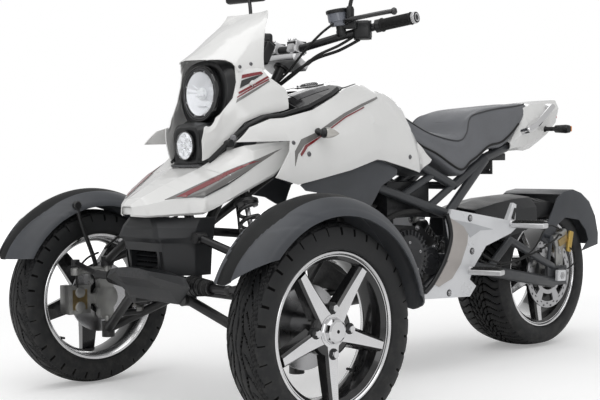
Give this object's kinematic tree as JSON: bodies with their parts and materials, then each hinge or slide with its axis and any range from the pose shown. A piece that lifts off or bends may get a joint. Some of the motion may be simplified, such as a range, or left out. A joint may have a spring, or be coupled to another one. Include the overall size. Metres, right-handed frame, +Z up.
{
  "type": "motorized trike",
  "caption": "Three-wheeled motor vehicle with two steered front wheels, one driven rear wheel, handlebar, stepped seat and white bodywork.",
  "frame": {"origin": "on the floor under the middle of the vehicle's bounding box", "axes": "+Z up, -Y forward to the nose, +X to the rider's left"},
  "size_m": [1.184, 2.0557, 1.2548],
  "materials": {
    "black_metal": "satin",
    "black_plastic": "matt",
    "cast_grey": "cast",
    "chain_steel": "oiled",
    "chrome": "polished",
    "engine_black": "matt",
    "frame_grey": "satin",
    "grey_plastic": "matt",
    "grip_rubber": "matt",
    "lens_clear": "clear",
    "lens_red": "clear",
    "rim_alloy": "machined",
    "seat_leather": "grained",
    "silver_paint": "satin",
    "tank_black": "gloss",
    "tyre_rubber": "matt",
    "white_plastic": "gloss"
  },
  "bodies": {
    "chassis": {"main_frame": "frame_grey", "front_frame": "black_metal", "engine": "engine_black", "airbox": "black_plastic", "exhaust": "black_metal", "tank": "tank_black", "side_panel_left": "white_plastic", "side_panel_right": "white_plastic", "side_scoops": "grey_plastic", "seat": "seat_leather", "tail_cowl": "white_plastic", "grab_rails": "chrome", "tail_lamp": "lens_red", "indicators": "black_plastic", "nose_cowl": "white_plastic", "front_bumper": "black_plastic", "skid_plate": "black_plastic", "radiator": "black_metal", "headlight_cowl": "white_plastic", "headlight_housing": "black_plastic", "headlight": "lens_clear", "lower_lamp": "lens_clear", "flyscreen": "white_plastic", "instrument": "black_plastic", "footrest_plates": "silver_paint", "footpegs": "cast_grey", "suspension_arms": "black_metal", "shocks": "black_metal", "steering_rack": "black_metal", "swingarm": "frame_grey", "rear_fender": "grey_plastic", "hugger": "black_plastic", "chain": "chain_steel", "rear_caliper": "cast_grey", "plate_bracket": "black_plastic", "cowl_trim": "black_plastic"},
    "steering": {"handlebar": "black_metal", "grips": "grip_rubber", "hand_controls": "black_plastic", "mirrors": "black_plastic"},
    "rack": {"tie_rods": "black_metal"},
    "knuckle_left": {"knuckle_left": "cast_grey", "front_fender_left": "grey_plastic"},
    "knuckle_right": {"knuckle_right": "cast_grey", "front_fender_right": "grey_plastic"},
    "front_wheel_left": {"front_rim_left": "rim_alloy", "front_tyre_left": "tyre_rubber"},
    "front_wheel_right": {"front_rim_right": "rim_alloy", "front_tyre_right": "tyre_rubber"},
    "rear_wheel": {"rear_rim": "rim_alloy", "rear_tyre": "tyre_rubber"}
  },
  "joints": [
    {"name": "steering_turn", "type": "hinge", "parent": "chassis", "child": "steering", "pos_m": [0, -0.3842, 0.955], "axis": [0, 0.5299, 0.848], "range_deg": [-35, 35]},
    {"name": "rack_travel", "type": "slide", "parent": "chassis", "child": "rack", "axis": [1, 0, 0], "range_m": [-0.055, 0.055]},
    {"name": "kingpin_left", "type": "hinge", "parent": "chassis", "child": "knuckle_left", "pos_m": [0.42, -0.7292, 0.27], "axis": [0, 0, 1], "range_deg": [-30, 30]},
    {"name": "kingpin_right", "type": "hinge", "parent": "chassis", "child": "knuckle_right", "pos_m": [-0.42, -0.7292, 0.27], "axis": [0, 0, 1], "range_deg": [-30, 30]},
    {"name": "front_spin_left", "type": "hinge", "parent": "knuckle_left", "child": "front_wheel_left", "pos_m": [0.51, -0.7292, 0.262], "axis": [1, 0, 0], "continuous": true},
    {"name": "front_spin_right", "type": "hinge", "parent": "knuckle_right", "child": "front_wheel_right", "pos_m": [-0.51, -0.7292, 0.262], "axis": [1, 0, 0], "continuous": true},
    {"name": "rear_spin", "type": "hinge", "parent": "chassis", "child": "rear_wheel", "pos_m": [0, 0.7308, 0.262], "axis": [1, 0, 0], "continuous": true}
  ],
  "couplings": [
    {"joint": "kingpin_left", "follows": "steering_turn", "ratio": 0.8},
    {"joint": "kingpin_right", "follows": "steering_turn", "ratio": 0.8},
    {"joint": "rack_travel", "follows": "steering_turn", "m_per_rad": 0.083}
  ]
}
